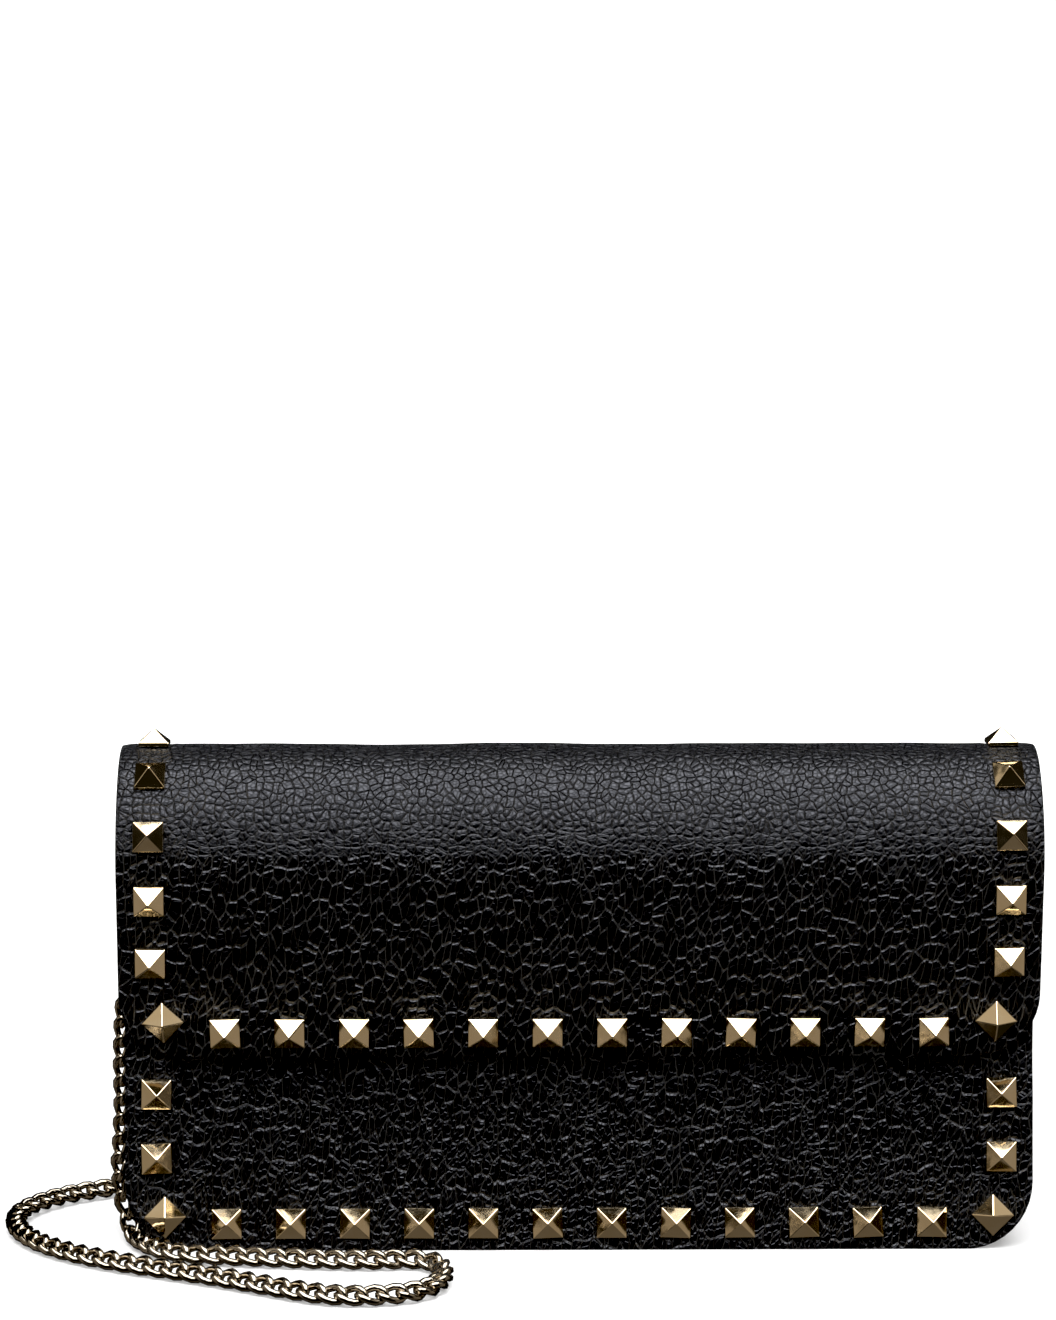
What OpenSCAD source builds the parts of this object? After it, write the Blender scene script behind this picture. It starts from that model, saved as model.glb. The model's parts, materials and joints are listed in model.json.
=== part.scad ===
/* [Overall] */
// Width of the flap, side to side
flap_w = 200; // [160:1:260]
// Height of the top of the closed flap above the floor
crest_h = 109; // [95:1:140]
// Outer depth from the back face to the crest line of the flap
crest_to_back = 7.9; // [7:0.1:10]

/* [Leather] */
// Thickness of the outer leather
leather_t = 1.4; // [1:0.1:2]
// Thickness of the lining bonded behind the flap and front leather
lining_t = 1.0; // [0.8:0.1:1.4]
// Thickness of the lining of the back wall
back_lining_t = 0.8; // [0.6:0.1:1.2]
// Thickness of the gusset leather
gusset_t = 1.1; // [0.8:0.1:1.6]
// Thickness of the bottom strip
bottom_t = 2.0; // [1.5:0.1:3]

/* [Flap] */
// Radius of the bend at the back of the top
back_bend_r = 9; // [7:0.5:12]
// Radius of the top of the flap
crest_r = 17; // [14:0.5:20]
// Radius of the front shoulder of the flap
shoulder_r = 27; // [22:0.5:32]
// How far the flap's front leans back towards its edge, degrees
flap_lean = 6.4; // [3:0.1:9]
// Straight length from the shoulder to the flap's edge
flap_drop = 39.8; // [25:0.1:48]
// Radius of the flap's lower corners
flap_corner_r = 14; // [8:0.5:20]
// Height of the flap's straight run above its hinge line
hinge_rise = 7; // [4:0.5:10]

/* [Body] */
// How far the flap overhangs the panels at each side
side_overhang = 0.9; // [0.5:0.1:4]
// Depth from the back face to the front panel's waist
waist_depth = 22.6; // [21:0.1:28]
// Radius of the front panel's inward curve
front_curve_r = 200; // [160:1:400]
// Height of the front panel's waist
waist_h = 46; // [40:1:55]
// Front panel top below the crest
front_below_crest = 21; // [20:0.5:26]
// Radius of the panels' lower corners
panel_corner_r = 15; // [8:0.5:18]
// Seam allowance of the gusset at each panel edge
seam_w = 5.5; // [4:0.5:8]
// How far the gusset folds inwards between the panels
gusset_fold = 5; // [3:0.5:7]

/* [Studs] */
// Side of a stud's square base
stud_w = 6.6; // [5:0.1:8]
// Height of a stud's upright skirt
stud_skirt = 0.7; // [0.4:0.1:1.2]
// Height of a stud's pyramid
stud_peak = 3.0; // [2:0.1:4]
// Thickness of the stamped cap
stud_wall = 0.5; // [0.3:0.1:0.8]
// Spacing of the studs
stud_pitch = 14; // [11:0.5:18]
// Distance from the flap's side edge to the side studs' centres
stud_inset = 7.1; // [5:0.1:9]
// Distance from a lower edge to the row's centres
row_inset = 5.8; // [4.5:0.1:8]

/* [Pockets] */
// Thickness of one card slot layer
card_t = 0.9; // [0.6:0.1:1.1]
// Step in height from one card slot to the next
card_step = 10; // [6:0.5:12]
// Thickness of a coin pocket wall
coin_wall_t = 0.8; // [0.6:0.1:1]
// Space inside the coin pocket
coin_gap = 2.0; // [1.8:0.1:2.4]
// Length of the zip's row of teeth
zip_len = 136; // [90:1:140]
// Length of the zip pull
pull_len = 12; // [8:0.5:12.5]

/* [Snap] */
// Diameter of the magnetic snap's discs
snap_d = 14; // [10:0.5:16]
// Height of the snap's centre
snap_h = 62; // [56:1:66]
// Diameter of the snap's nub
nub_d = 4; // [3:0.1:4.4]
// Diameter of the socket's bore
socket_bore = 6; // [5.6:0.1:7]

/* [Chain hardware] */
// Wire diameter of the D-rings
ring_wire = 1.8; // [1.4:0.1:2]
// Clear width inside a D-ring
ring_inner = 8; // [7:0.5:9]
// Width of the leather ring tabs
tab_w = 7; // [5:0.5:7.5]
// Inner radius of the clasp's hook
hook_inner_r = 2.5; // [2.4:0.1:3]
// Width of the clasp's metal
hook_metal = 1.4; // [1:0.1:1.6]
// Thickness of the clasp, front to back
hook_t = 2.6; // [2.4:0.1:3.2]
// Width of the chain across its flat links
chain_w = 5; // [4:0.5:6]
// Thickness of the chain lying flat
chain_t = 3.6; // [2.4:0.1:4]
// Mean radius of the put-away coil of chain
coil_r = 25.5; // [20:0.5:30]
// Layers of turns in the put-away coil
coil_layers = 2; // [1:1:4]

/* [Hidden] */
$fn = 48;
eps = 0.01;
hinge_gap = 0.3;
play = 0.1;

// Angles of the outward normal above the horizontal, along the flap's outer face
back_n = 180;
crest_n = 97;
shoulder_n = 45;
front_n = -flap_lean;

// The wallet is centred in depth on y = 0, so its back face is at back_y
back_y = 16.75;
crest_y = back_y - crest_to_back;

// Direction of a normal at elevation n, as [y, z], and of travel down the front at n
function normal(n) = [-cos(n), sin(n)];
function downhill(n) = [-sin(n), -cos(n)];

back_c = [crest_y, crest_h - 0.1] - back_bend_r * normal(crest_n);
crest_c = [crest_y, crest_h - 0.1] - crest_r * normal(crest_n);
shoulder_c = crest_c + (crest_r - shoulder_r) * normal(shoulder_n);
crest_arc = (crest_n - shoulder_n) * PI / 180 * crest_r;
shoulder_arc = (shoulder_n - front_n) * PI / 180 * shoulder_r;
flap_len = crest_arc + shoulder_arc + flap_drop;
drop_top = shoulder_c + shoulder_r * normal(front_n);
flap_edge = drop_top + flap_drop * downhill(front_n);
flap_t = leather_t + lining_t;
hinge_z = back_c[1] - hinge_rise;
panel_w = flap_w - 2 * side_overhang;
front_h = crest_h - front_below_crest;
back_wall_t = leather_t + back_lining_t;
back_in = back_y - back_wall_t;
front_c_y = back_y - waist_depth - front_curve_r;

// Elevation of the normal and place on the flap's outer face, s along it from the crest line
function flap_n(s) = s < crest_arc ? crest_n - s / crest_r * 180 / PI
    : s < crest_arc + shoulder_arc ? shoulder_n - (s - crest_arc) / shoulder_r * 180 / PI
    : front_n;
function flap_p(s) = s < crest_arc ? crest_c + crest_r * normal(flap_n(s))
    : s < crest_arc + shoulder_arc ? shoulder_c + shoulder_r * normal(flap_n(s))
    : drop_top + (s - crest_arc - shoulder_arc) * downhill(front_n);
function flap_s_at(z) = crest_arc + shoulder_arc + (drop_top[1] - z) / cos(front_n);

// Place of the front panel's face at height z, t deep in it, and its normal's elevation
function front_y(z, t = 0) = front_c_y + sqrt(pow(front_curve_r + t, 2) - pow(z - waist_h, 2));
function front_normal(z) = -asin((z - waist_h) / front_curve_r);

function arc(c, r, a0, a1, steps) =
    [for (i = [0:steps]) c + r * normal(a0 + (a1 - a0) * i / steps)];
function reversed(v) = [for (i = [len(v) - 1:-1:0]) v[i]];

// Line through the flap at depth t under its outer face, from the hinge to the free edge
function flap_line(t) = concat([[back_y - t, hinge_z]],
    arc(back_c, back_bend_r - t, back_n, crest_n, 9), arc(crest_c, crest_r - t, crest_n, shoulder_n, 9),
    arc(shoulder_c, shoulder_r - t, shoulder_n, front_n, 10), [flap_edge - t * normal(front_n)]);
front_steps = 16;
function front_line(t) = [for (i = [0:front_steps])
    let (z = front_h * i / front_steps) [front_y(z, t), z]];

module across(w) {
    rotate([90, 0, 90]) linear_extrude(w, center = true) children();
}
module between_lines(a, b) {
    polygon(concat(a, reversed(b)));
}
// Upright outline with two round lower corners, drawn through the whole depth
module outline(w, low, high, r) {
    rotate([90, 0, 0]) linear_extrude(120, center = true) {
        translate([-w / 2 + r, low]) square([w - 2 * r, high - low]);
        translate([-w / 2, low + r]) square([w, high - low - r]);
        for (side = [-1, 1]) translate([side * (w / 2 - r), low + r]) circle(r, $fn = 96);
    }
}
module on_flap(x, s, turn = 0) {
    translate([x, flap_p(s)[0], flap_p(s)[1]]) rotate([90 - flap_n(s), 0, 0]) rotate(turn) children();
}
module on_front(x, z, turn = 0) {
    translate([x, front_y(z), z]) rotate([90 - front_normal(z), 0, 0]) rotate(turn) children();
}

// Studs: a hollow stamped pyramid on a short skirt, with two prongs clinched behind the leather
stud_seat = 0.15;
prong_w = 1.6;
prong_t = 0.4;
prong_x = stud_w / 2 - 0.05;
prong_tab = 1.8;
module prongs() {
    for (side = [0, 180]) rotate(side) {
        translate([prong_x - prong_t, -prong_w / 2, -leather_t - prong_t])
            cube([prong_t, prong_w, leather_t + prong_t - stud_seat + stud_wall]);
        translate([prong_x - prong_tab, -prong_w / 2, -leather_t - prong_t])
            cube([prong_tab, prong_w, prong_t]);
    }
}
module pyramid(w, skirt, peak) {
    translate([-w / 2, -w / 2, 0]) cube([w, w, skirt]);
    translate([0, 0, skirt]) rotate(45) cylinder(h = peak, r1 = w / sqrt(2), r2 = 0.15, $fn = 4);
}
module stud() {
    difference() {
        translate([0, 0, -stud_seat]) pyramid(stud_w, stud_skirt + stud_seat, stud_peak);
        translate([0, 0, -stud_seat - eps])
            pyramid(stud_w - 2 * stud_wall, stud_skirt + stud_seat - stud_wall, stud_peak - stud_wall);
    }
    prongs();
}
// What the leather and lining lose to a stud: its pressed seat and its prongs
module stud_cut() {
    translate([-stud_w / 2, -stud_w / 2, -stud_seat]) cube([stud_w, stud_w, 2]);
    prongs();
}

// Rows: one along each lower edge, a column up each side, and a stud on its point in each corner
row_count = 2 * floor((flap_w / 2 - 2 * stud_inset - stud_pitch / 2) / stud_pitch) + 2;
function row_x(i) = (i - (row_count - 1) / 2) * stud_pitch;
corner_in = 2.5;
corner_up = 1.6;
corner_gap = 12.6;
crest_stud_s = 1.7;
front_side_in = 0.6;
side_x = flap_w / 2 - stud_inset;
corner_x = side_x - corner_in;
flap_row_s = flap_len - row_inset;
flap_corner_s = flap_row_s - corner_in;
side_count = floor((flap_corner_s - corner_gap - crest_stud_s) / stud_pitch) + 1;
front_row_z = row_inset;
front_corner_z = front_row_z + corner_up;
front_side_z = [front_corner_z + corner_gap, front_corner_z + corner_gap + stud_pitch];

module at_flap_side(side) {
    for (i = [0:side_count - 1]) on_flap(side * side_x, crest_stud_s + i * stud_pitch) children();
}
module at_flap_row() {
    for (i = [0:row_count - 1]) on_flap(row_x(i), flap_row_s) children();
}
module at_flap_corner() {
    for (side = [-1, 1]) on_flap(side * corner_x, flap_corner_s, 45) children();
}
module at_front_side(side) {
    for (z = front_side_z) on_front(side * (side_x - front_side_in), z) children();
}
module at_front_row() {
    for (i = [0:row_count - 1]) on_front(row_x(i), front_row_z) children();
}
module at_front_corner() {
    for (side = [-1, 1]) on_front(side * corner_x, front_corner_z, 45) children();
}
module at_all_flap_studs() {
    at_flap_side(-1) children();
    at_flap_side(1) children();
    at_flap_row() children();
    at_flap_corner() children();
}
module at_all_front_studs() {
    at_front_side(-1) children();
    at_front_side(1) children();
    at_front_row() children();
    at_front_corner() children();
}

// Magnetic snap: a socket on the front panel and a nub on the flap, each clinched to a washer
socket_proud = 0.7;
nub_proud = 0.4;
nub_len = 1.5;
washer_t = 0.5;
stem_d = socket_bore + 3;
nub_stem_d = nub_d + 2;
washer_d = snap_d - 2;
nub_drop = 0.4;
snap_s = flap_s_at(snap_h - nub_drop);
module socket_cut() {
    cylinder(h = 1, d = snap_d);
    translate([0, 0, -leather_t]) cylinder(h = leather_t + 1, d = stem_d);
    translate([0, 0, -leather_t - washer_t]) cylinder(h = washer_t, d = washer_d);
}
module nub_cut() {
    translate([0, 0, -flap_t - 1]) cylinder(h = lining_t + 1 + eps, d = nub_stem_d);
    translate([0, 0, -leather_t]) cylinder(h = washer_t, d = washer_d);
}

// Panels and gussets
module back_panel() {
    color("#1b1b1f") intersection() {
        translate([-panel_w / 2, back_y - leather_t, 0]) cube([panel_w, leather_t, hinge_z - hinge_gap]);
        outline(panel_w, 0, crest_h, panel_corner_r);
    }
}
module back_lining() {
    color("#2b2a2c") intersection() {
        translate([-panel_w / 2, back_in, 0]) cube([panel_w, back_lining_t, hinge_z - hinge_gap]);
        outline(panel_w, 0, crest_h, panel_corner_r);
    }
}
module front_panel() {
    color("#1b1b1f") difference() {
        intersection() {
            across(panel_w) between_lines(front_line(0), front_line(leather_t));
            outline(panel_w, 0, crest_h, panel_corner_r);
        }
        at_all_front_studs() stud_cut();
        on_front(0, snap_h) socket_cut();
    }
}
module front_lining() {
    color("#2b2a2c") difference() {
        intersection() {
            across(panel_w) between_lines(front_line(leather_t), front_line(flap_t));
            outline(panel_w, 0, crest_h, panel_corner_r);
        }
        at_all_front_studs() prongs();
        on_front(0, snap_h) socket_cut();
    }
}

// The room between the two panels, up to a mouth that slopes from one panel's top to the other
module between_panels() {
    across(panel_w) polygon(concat(front_line(flap_t), [[back_in, hinge_z - hinge_gap], [back_in, 0]]));
}
seam_x = panel_w / 2 - seam_w;
fold_x = seam_x - gusset_fold;
fold_depth = 10.5;
fold_y = back_in - fold_depth;
// The folded strip of a gusset, long enough to reach into both of its seam strips
module gusset_fold_strip() {
    reach = 14;
    lean = gusset_fold * reach / (back_in - fold_y);
    sink = 0.4;
    intersection() {
        linear_extrude(crest_h)
            polygon([[seam_x, back_in], [fold_x, fold_y], [fold_x + lean, fold_y - reach],
                [fold_x + lean + gusset_t, fold_y - reach], [fold_x + gusset_t, fold_y],
                [seam_x + gusset_t, back_in]]);
        across(4 * panel_w) polygon(concat(front_line(flap_t + gusset_t - sink),
            [[back_in - gusset_t + sink, hinge_z - hinge_gap - 1], [back_in - gusset_t + sink, 0]]));
    }
}
module inside_gusset() {
    linear_extrude(crest_h) polygon([[0, back_in], [seam_x + gusset_t, back_in],
        [fold_x + gusset_t, fold_y], [seam_x + gusset_t, fold_y - fold_depth], [0, fold_y - fold_depth]]);
}
module inside_bottom() {
    outline(panel_w - 2 * bottom_t, bottom_t, crest_h, panel_corner_r - bottom_t);
}
// What a gusset may fill: inside the bottom strip low down, and the panels' full width above it
module gusset_room() {
    inside_bottom();
    translate([-panel_w / 2, -50, panel_corner_r]) cube([panel_w, 100, crest_h]);
}
module gusset() {
    intersection() {
        gusset_room();
        union() {
            gusset_fold_strip();
            translate([seam_x, back_in - gusset_t, 0])
                cube([2 * seam_w, gusset_t, hinge_z - hinge_gap]);
            translate([panel_w / 2, 0, 0]) across(2 * seam_w + 4)
                between_lines(front_line(flap_t), front_line(flap_t + gusset_t));
        }
    }
}
module gusset_left() {
    color("#202024") mirror([1, 0, 0]) gusset();
}
module gusset_right() {
    color("#202024") gusset();
}
module bottom_strip() {
    color("#202024") difference() {
        intersection() {
            between_panels();
            outline(panel_w, 0, crest_h, panel_corner_r);
            translate([-panel_w / 2, -50, 0]) cube([panel_w, 100, panel_corner_r]);
        }
        inside_bottom();
    }
}

// Card slots on the back wall, in two columns, each layer lower than the one behind it
card_half = seam_x - 3;
card_top = front_h - 2;
scoop_r = 40;
scoop_depth = 3;
module card_slot(layer) {
    top = card_top - layer * card_step;
    difference() {
        intersection() {
            translate([-card_half, back_in - (layer + 1) * card_t, bottom_t])
                cube([2 * card_half, card_t, top - bottom_t]);
            inside_bottom();
        }
        for (side = [-1, 1]) translate([side * card_half / 2, back_in, top + scoop_r - scoop_depth])
            rotate([90, 0, 0]) cylinder(h = 20, r = scoop_r, center = true, $fn = 96);
    }
}
module card_slot_high() {
    color("#26252a") card_slot(0);
}
module card_slot_middle() {
    color("#26252a") card_slot(1);
}
module card_slot_low() {
    color("#26252a") card_slot(2);
}

// Zipped coin pocket that divides the inside in two
coin_half = fold_x - 1;
coin_y = fold_y + 0.1;
coin_top = front_h - 4;
module coin_wall(side) {
    intersection() {
        translate([-coin_half, coin_y + side * (coin_gap + coin_wall_t) / 2 - coin_wall_t / 2, bottom_t])
            cube([2 * coin_half, coin_wall_t, coin_top - bottom_t]);
        inside_bottom();
    }
}
module coin_wall_front() {
    color("#2b2a2c") coin_wall(-1);
}
module coin_wall_back() {
    color("#2b2a2c") coin_wall(1);
}
tape_t = 0.5;
tape_rise = 2.5;
tape_sewn = 10;
tape_past_teeth = 5;
tooth_h = 2;
tooth_pitch = 2.5;
tooth_len = 0.62 * tooth_pitch;
tooth_stagger = 0.1;
tooth_z = coin_top + tape_rise;
tooth_w = coin_gap;
module zip_tape(side) {
    translate([-zip_len / 2 - tape_past_teeth, coin_y + side * (coin_gap - tape_t) / 2 - tape_t / 2,
        coin_top - tape_sewn])
        cube([zip_len + 2 * tape_past_teeth, tape_t, tape_sewn + tape_rise]);
}
module zip_tape_front() {
    color("#19191b") zip_tape(-1);
}
module zip_tape_back() {
    color("#19191b") zip_tape(1);
}
module zip_teeth() {
    count = floor(zip_len / tooth_pitch);
    color("#d8c79c") for (i = [0:count - 1])
        translate([(i - (count - 1) / 2) * tooth_pitch,
            coin_y + (i % 2 == 0 ? -tooth_stagger : tooth_stagger), tooth_z + tooth_h / 2])
            cube([tooth_len, tooth_w - 2 * tooth_stagger, tooth_h], center = true);
}
module zip_stops() {
    color("#d8c79c") for (side = [-1, 1])
        translate([side * (zip_len / 2 + tape_past_teeth - 1), coin_y, tooth_z])
            cube([1.6, tooth_w + 0.6, 2.4], center = true);
}
slider_len = 7;
slider_x = zip_len / 2 - 1;
slider_metal = 1.2;
slider_play = 0.35;
slider_w = tooth_w + 2 * (slider_play + slider_metal) + 0.3;
slider_top = tooth_z + tooth_h + slider_play + slider_metal;
lug_t = 1.6;
lug_len = 3.4;
lug_above_pin = 1.5;
pivot_z = slider_top + 1.6;
pin_d = 1.0;
module zip_slider() {
    channel_w = tooth_w + 2 * slider_play;
    color("#d8c79c") difference() {
        union() {
            translate([slider_x - slider_len / 2, coin_y - slider_w / 2, tooth_z - slider_play])
                cube([slider_len, slider_w, slider_top - tooth_z + slider_play]);
            translate([slider_x - lug_len / 2, coin_y - lug_t / 2, slider_top - eps])
                cube([lug_len, lug_t, pivot_z - slider_top + lug_above_pin]);
        }
        translate([slider_x - slider_len, coin_y - channel_w / 2, tooth_z - 1])
            cube([2 * slider_len, channel_w, tooth_h + slider_play + 1]);
        translate([slider_x, coin_y, pivot_z]) rotate([90, 0, 0])
            cylinder(h = 10, d = pin_d + 2 * play, center = true);
    }
}
// A fork that holds the slider's lug, and a flat blade with an eye at its end
pull_t = 1.2;
pull_w = 4.8;
fork_cheek = 0.8;
fork_boss_d = 1.8;
fork_len = 4.2;
fork_slot = 2.6;
blade_start = 2.9;
pull_eye_d = 2.2;
module zip_pull() {
    gap = lug_t + 4 * play;
    w = gap + 2 * fork_cheek;
    color("#d8c79c") translate([slider_x, coin_y, pivot_z]) {
        rotate([90, 0, 0]) cylinder(h = w, d = pin_d, center = true);
        difference() {
            union() {
                rotate([90, 0, 0]) cylinder(h = w, d = fork_boss_d, center = true);
                translate([-fork_len, -w / 2, -pull_t / 2]) cube([fork_len, w, pull_t]);
            }
            translate([-fork_slot, -gap / 2, -3]) cube([2 * fork_slot, gap, 6]);
        }
        difference() {
            translate([-pull_len, -pull_w / 2, -pull_t / 2]) cube([pull_len - blade_start, pull_w, pull_t]);
            translate([-pull_len + pull_w / 2, 0, 0]) cylinder(h = 5, d = pull_eye_d, center = true);
        }
    }
}

// Snap parts
module snap_socket() {
    color("#d8c79c") on_front(0, snap_h) difference() {
        union() {
            cylinder(h = socket_proud, d = snap_d);
            translate([0, 0, -leather_t]) cylinder(h = leather_t, d = stem_d);
        }
        translate([0, 0, -leather_t + 0.4]) cylinder(h = 5, d = socket_bore);
    }
}
module snap_socket_washer() {
    color("#b9b4a6") on_front(0, snap_h) translate([0, 0, -leather_t - washer_t])
        cylinder(h = washer_t, d = washer_d);
}
module snap_nub() {
    color("#d8c79c") on_flap(0, snap_s) {
        translate([0, 0, -flap_t - nub_proud]) cylinder(h = nub_proud, d = snap_d);
        translate([0, 0, -flap_t]) cylinder(h = lining_t, d = nub_stem_d);
        translate([0, 0, -flap_t - nub_proud - nub_len]) cylinder(h = nub_len, d = nub_d);
    }
}
module snap_nub_washer() {
    color("#b9b4a6") on_flap(0, snap_s) translate([0, 0, -leather_t])
        cylinder(h = washer_t, d = washer_d);
}

// Flap
module flap_leather() {
    color("#1b1b1f") difference() {
        intersection() {
            across(flap_w) between_lines(flap_line(0), flap_line(leather_t));
            outline(flap_w, flap_edge[1], crest_h + 10, flap_corner_r);
        }
        at_all_flap_studs() stud_cut();
        on_flap(0, snap_s) nub_cut();
    }
}
module flap_lining() {
    color("#2b2a2c") difference() {
        intersection() {
            across(flap_w) between_lines(flap_line(leather_t), flap_line(flap_t));
            outline(flap_w, flap_edge[1], crest_h + 10, flap_corner_r);
        }
        at_all_flap_studs() prongs();
        on_flap(0, snap_s) nub_cut();
    }
}
module flap_studs_left() {
    color("#d8c79c") at_flap_side(-1) stud();
}
module flap_studs_right() {
    color("#d8c79c") at_flap_side(1) stud();
}
module flap_studs_row() {
    color("#d8c79c") at_flap_row() stud();
}
module flap_studs_corner() {
    color("#d8c79c") at_flap_corner() stud();
}
module front_studs_left() {
    color("#d8c79c") at_front_side(-1) stud();
}
module front_studs_right() {
    color("#d8c79c") at_front_side(1) stud();
}
module front_studs_row() {
    color("#d8c79c") at_front_row() stud();
}
module front_studs_corner() {
    color("#d8c79c") at_front_corner() stud();
}

// Chain hardware, drawn for the right side: a leather tab, a D-ring and a swivel clasp
ring_in = 3.5;
ring_x = panel_w / 2 - ring_in;
ring_z = front_h;
ring_half = (ring_inner + ring_wire) / 2;
ring_side = 1.5;
tab_loop_t = 1.2;
module ring_tab() {
    loop_r = ring_wire / 2 + play + tab_loop_t;
    difference() {
        union() {
            translate([ring_x, fold_y, ring_z]) rotate([90, 0, 0])
                cylinder(h = tab_w, r = loop_r, center = true);
            translate([fold_x, fold_y - tab_w / 2, ring_z - tab_loop_t])
                cube([ring_x - fold_x, tab_w, 2 * tab_loop_t]);
        }
        translate([ring_x, fold_y, ring_z]) rotate([90, 0, 0])
            cylinder(h = 20, r = ring_wire / 2 + play, center = true);
        inside_gusset();
    }
}
module d_ring() {
    r = ring_wire / 2;
    translate([ring_x, fold_y, ring_z]) {
        rotate([90, 0, 0]) cylinder(h = 2 * ring_half, r = r, center = true);
        for (side = [-1, 1]) translate([0, side * ring_half, 0]) {
            sphere(r);
            translate([0, 0, -ring_side]) cylinder(h = ring_side, r = r);
        }
        translate([0, 0, -ring_side]) rotate([0, 90, 0]) rotate([0, 0, -90])
            rotate_extrude(angle = 180) translate([ring_half, 0]) circle(r);
    }
}
hook_drop = 1.2;
hook_z = ring_z - ring_side - ring_half - hook_drop;
hook_outer_r = hook_inner_r + hook_metal;
hook_back = 6.2;
base_t = 2.0;
gate_x = hook_inner_r + hook_metal / 2;
gate_z = -hook_back + 1;
gate_t = 1.2;
gate_w = 1.3;
gate_pin_d = 1.0;
lug_r = 1.15;
lug_foot = 2;
thumb_z = 2.2;
thumb = [1.6, 0.9];
tip_z = -0.5;
eye_r = 1.8;
eye_wire_r = 0.6;
eye_gap = 0.3;
stem_r = 0.7;
stem_head_r = 1.2;
stem_head_t = 0.6;
eye_z = -hook_back - base_t - eye_gap - eye_wire_r - eye_r;
module at_clasp() {
    translate([ring_x, fold_y, hook_z]) children();
}
module flat(t) {
    rotate([90, 0, 0]) linear_extrude(t, center = true) children();
}
module clasp_hook() {
    at_clasp() {
        difference() {
            flat(hook_t) {
                difference() {
                    circle(hook_outer_r);
                    circle(hook_inner_r);
                    translate([0, -10 + tip_z]) square([10, 10]);
                    translate([-10, -10]) square([10 + eps, 10]);
                }
                translate([-hook_outer_r, -hook_back]) square([hook_metal, hook_back]);
                translate([-hook_outer_r, -hook_back - base_t]) square([2 * hook_outer_r, base_t]);
                translate([gate_x, gate_z]) circle(lug_r);
                translate([gate_x - lug_r, gate_z - lug_foot]) square([2 * lug_r, lug_foot]);
            }
            translate([gate_x, 0, gate_z]) rotate([90, 0, 0])
                cylinder(h = gate_t + 4 * play, r = lug_r + 3 * play, center = true);
            translate([gate_x, 0, gate_z]) rotate([90, 0, 0])
                cylinder(h = hook_t + 1, d = gate_pin_d, center = true);
            translate([0, 0, -hook_back - base_t - 1]) cylinder(h = base_t + 2, r = stem_r + play);
        }
        translate([gate_x, 0, gate_z]) rotate([90, 0, 0])
            cylinder(h = hook_t, d = gate_pin_d, center = true);
    }
}
module clasp_gate() {
    at_clasp() difference() {
        flat(gate_t) {
            translate([gate_x, gate_z]) circle(lug_r);
            translate([gate_x - gate_w / 2, gate_z]) square([gate_w, tip_z - 3 * play - gate_z]);
            translate([gate_x, gate_z + thumb_z]) square(thumb);
        }
        translate([gate_x, 0, gate_z]) rotate([90, 0, 0])
            cylinder(h = 5, d = gate_pin_d + 2 * play, center = true);
    }
}
module clasp_eye() {
    at_clasp() {
        translate([0, 0, eye_z]) rotate([90, 0, 0])
            rotate_extrude() translate([eye_r, 0]) circle(eye_wire_r);
        translate([0, 0, eye_z + eye_r]) cylinder(h = -hook_back + 0.2 - eye_z - eye_r, r = stem_r);
        translate([0, 0, -hook_back + 0.15]) cylinder(h = stem_head_t, r = stem_head_r);
    }
}
module ring_tab_left() {
    color("#1b1b1f") mirror([1, 0, 0]) ring_tab();
}
module ring_tab_right() {
    color("#1b1b1f") ring_tab();
}
module d_ring_left() {
    color("#d8c79c") mirror([1, 0, 0]) d_ring();
}
module d_ring_right() {
    color("#d8c79c") d_ring();
}
module clasp_hook_left() {
    color("#d8c79c") mirror([1, 0, 0]) clasp_hook();
}
module clasp_gate_left() {
    color("#d8c79c") mirror([1, 0, 0]) clasp_gate();
}
module clasp_eye_left() {
    color("#d8c79c") mirror([1, 0, 0]) clasp_eye();
}
module clasp_hook_right() {
    color("#d8c79c") clasp_hook();
}
module clasp_gate_right() {
    color("#d8c79c") clasp_gate();
}
module clasp_eye_right() {
    color("#d8c79c") clasp_eye();
}

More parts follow.
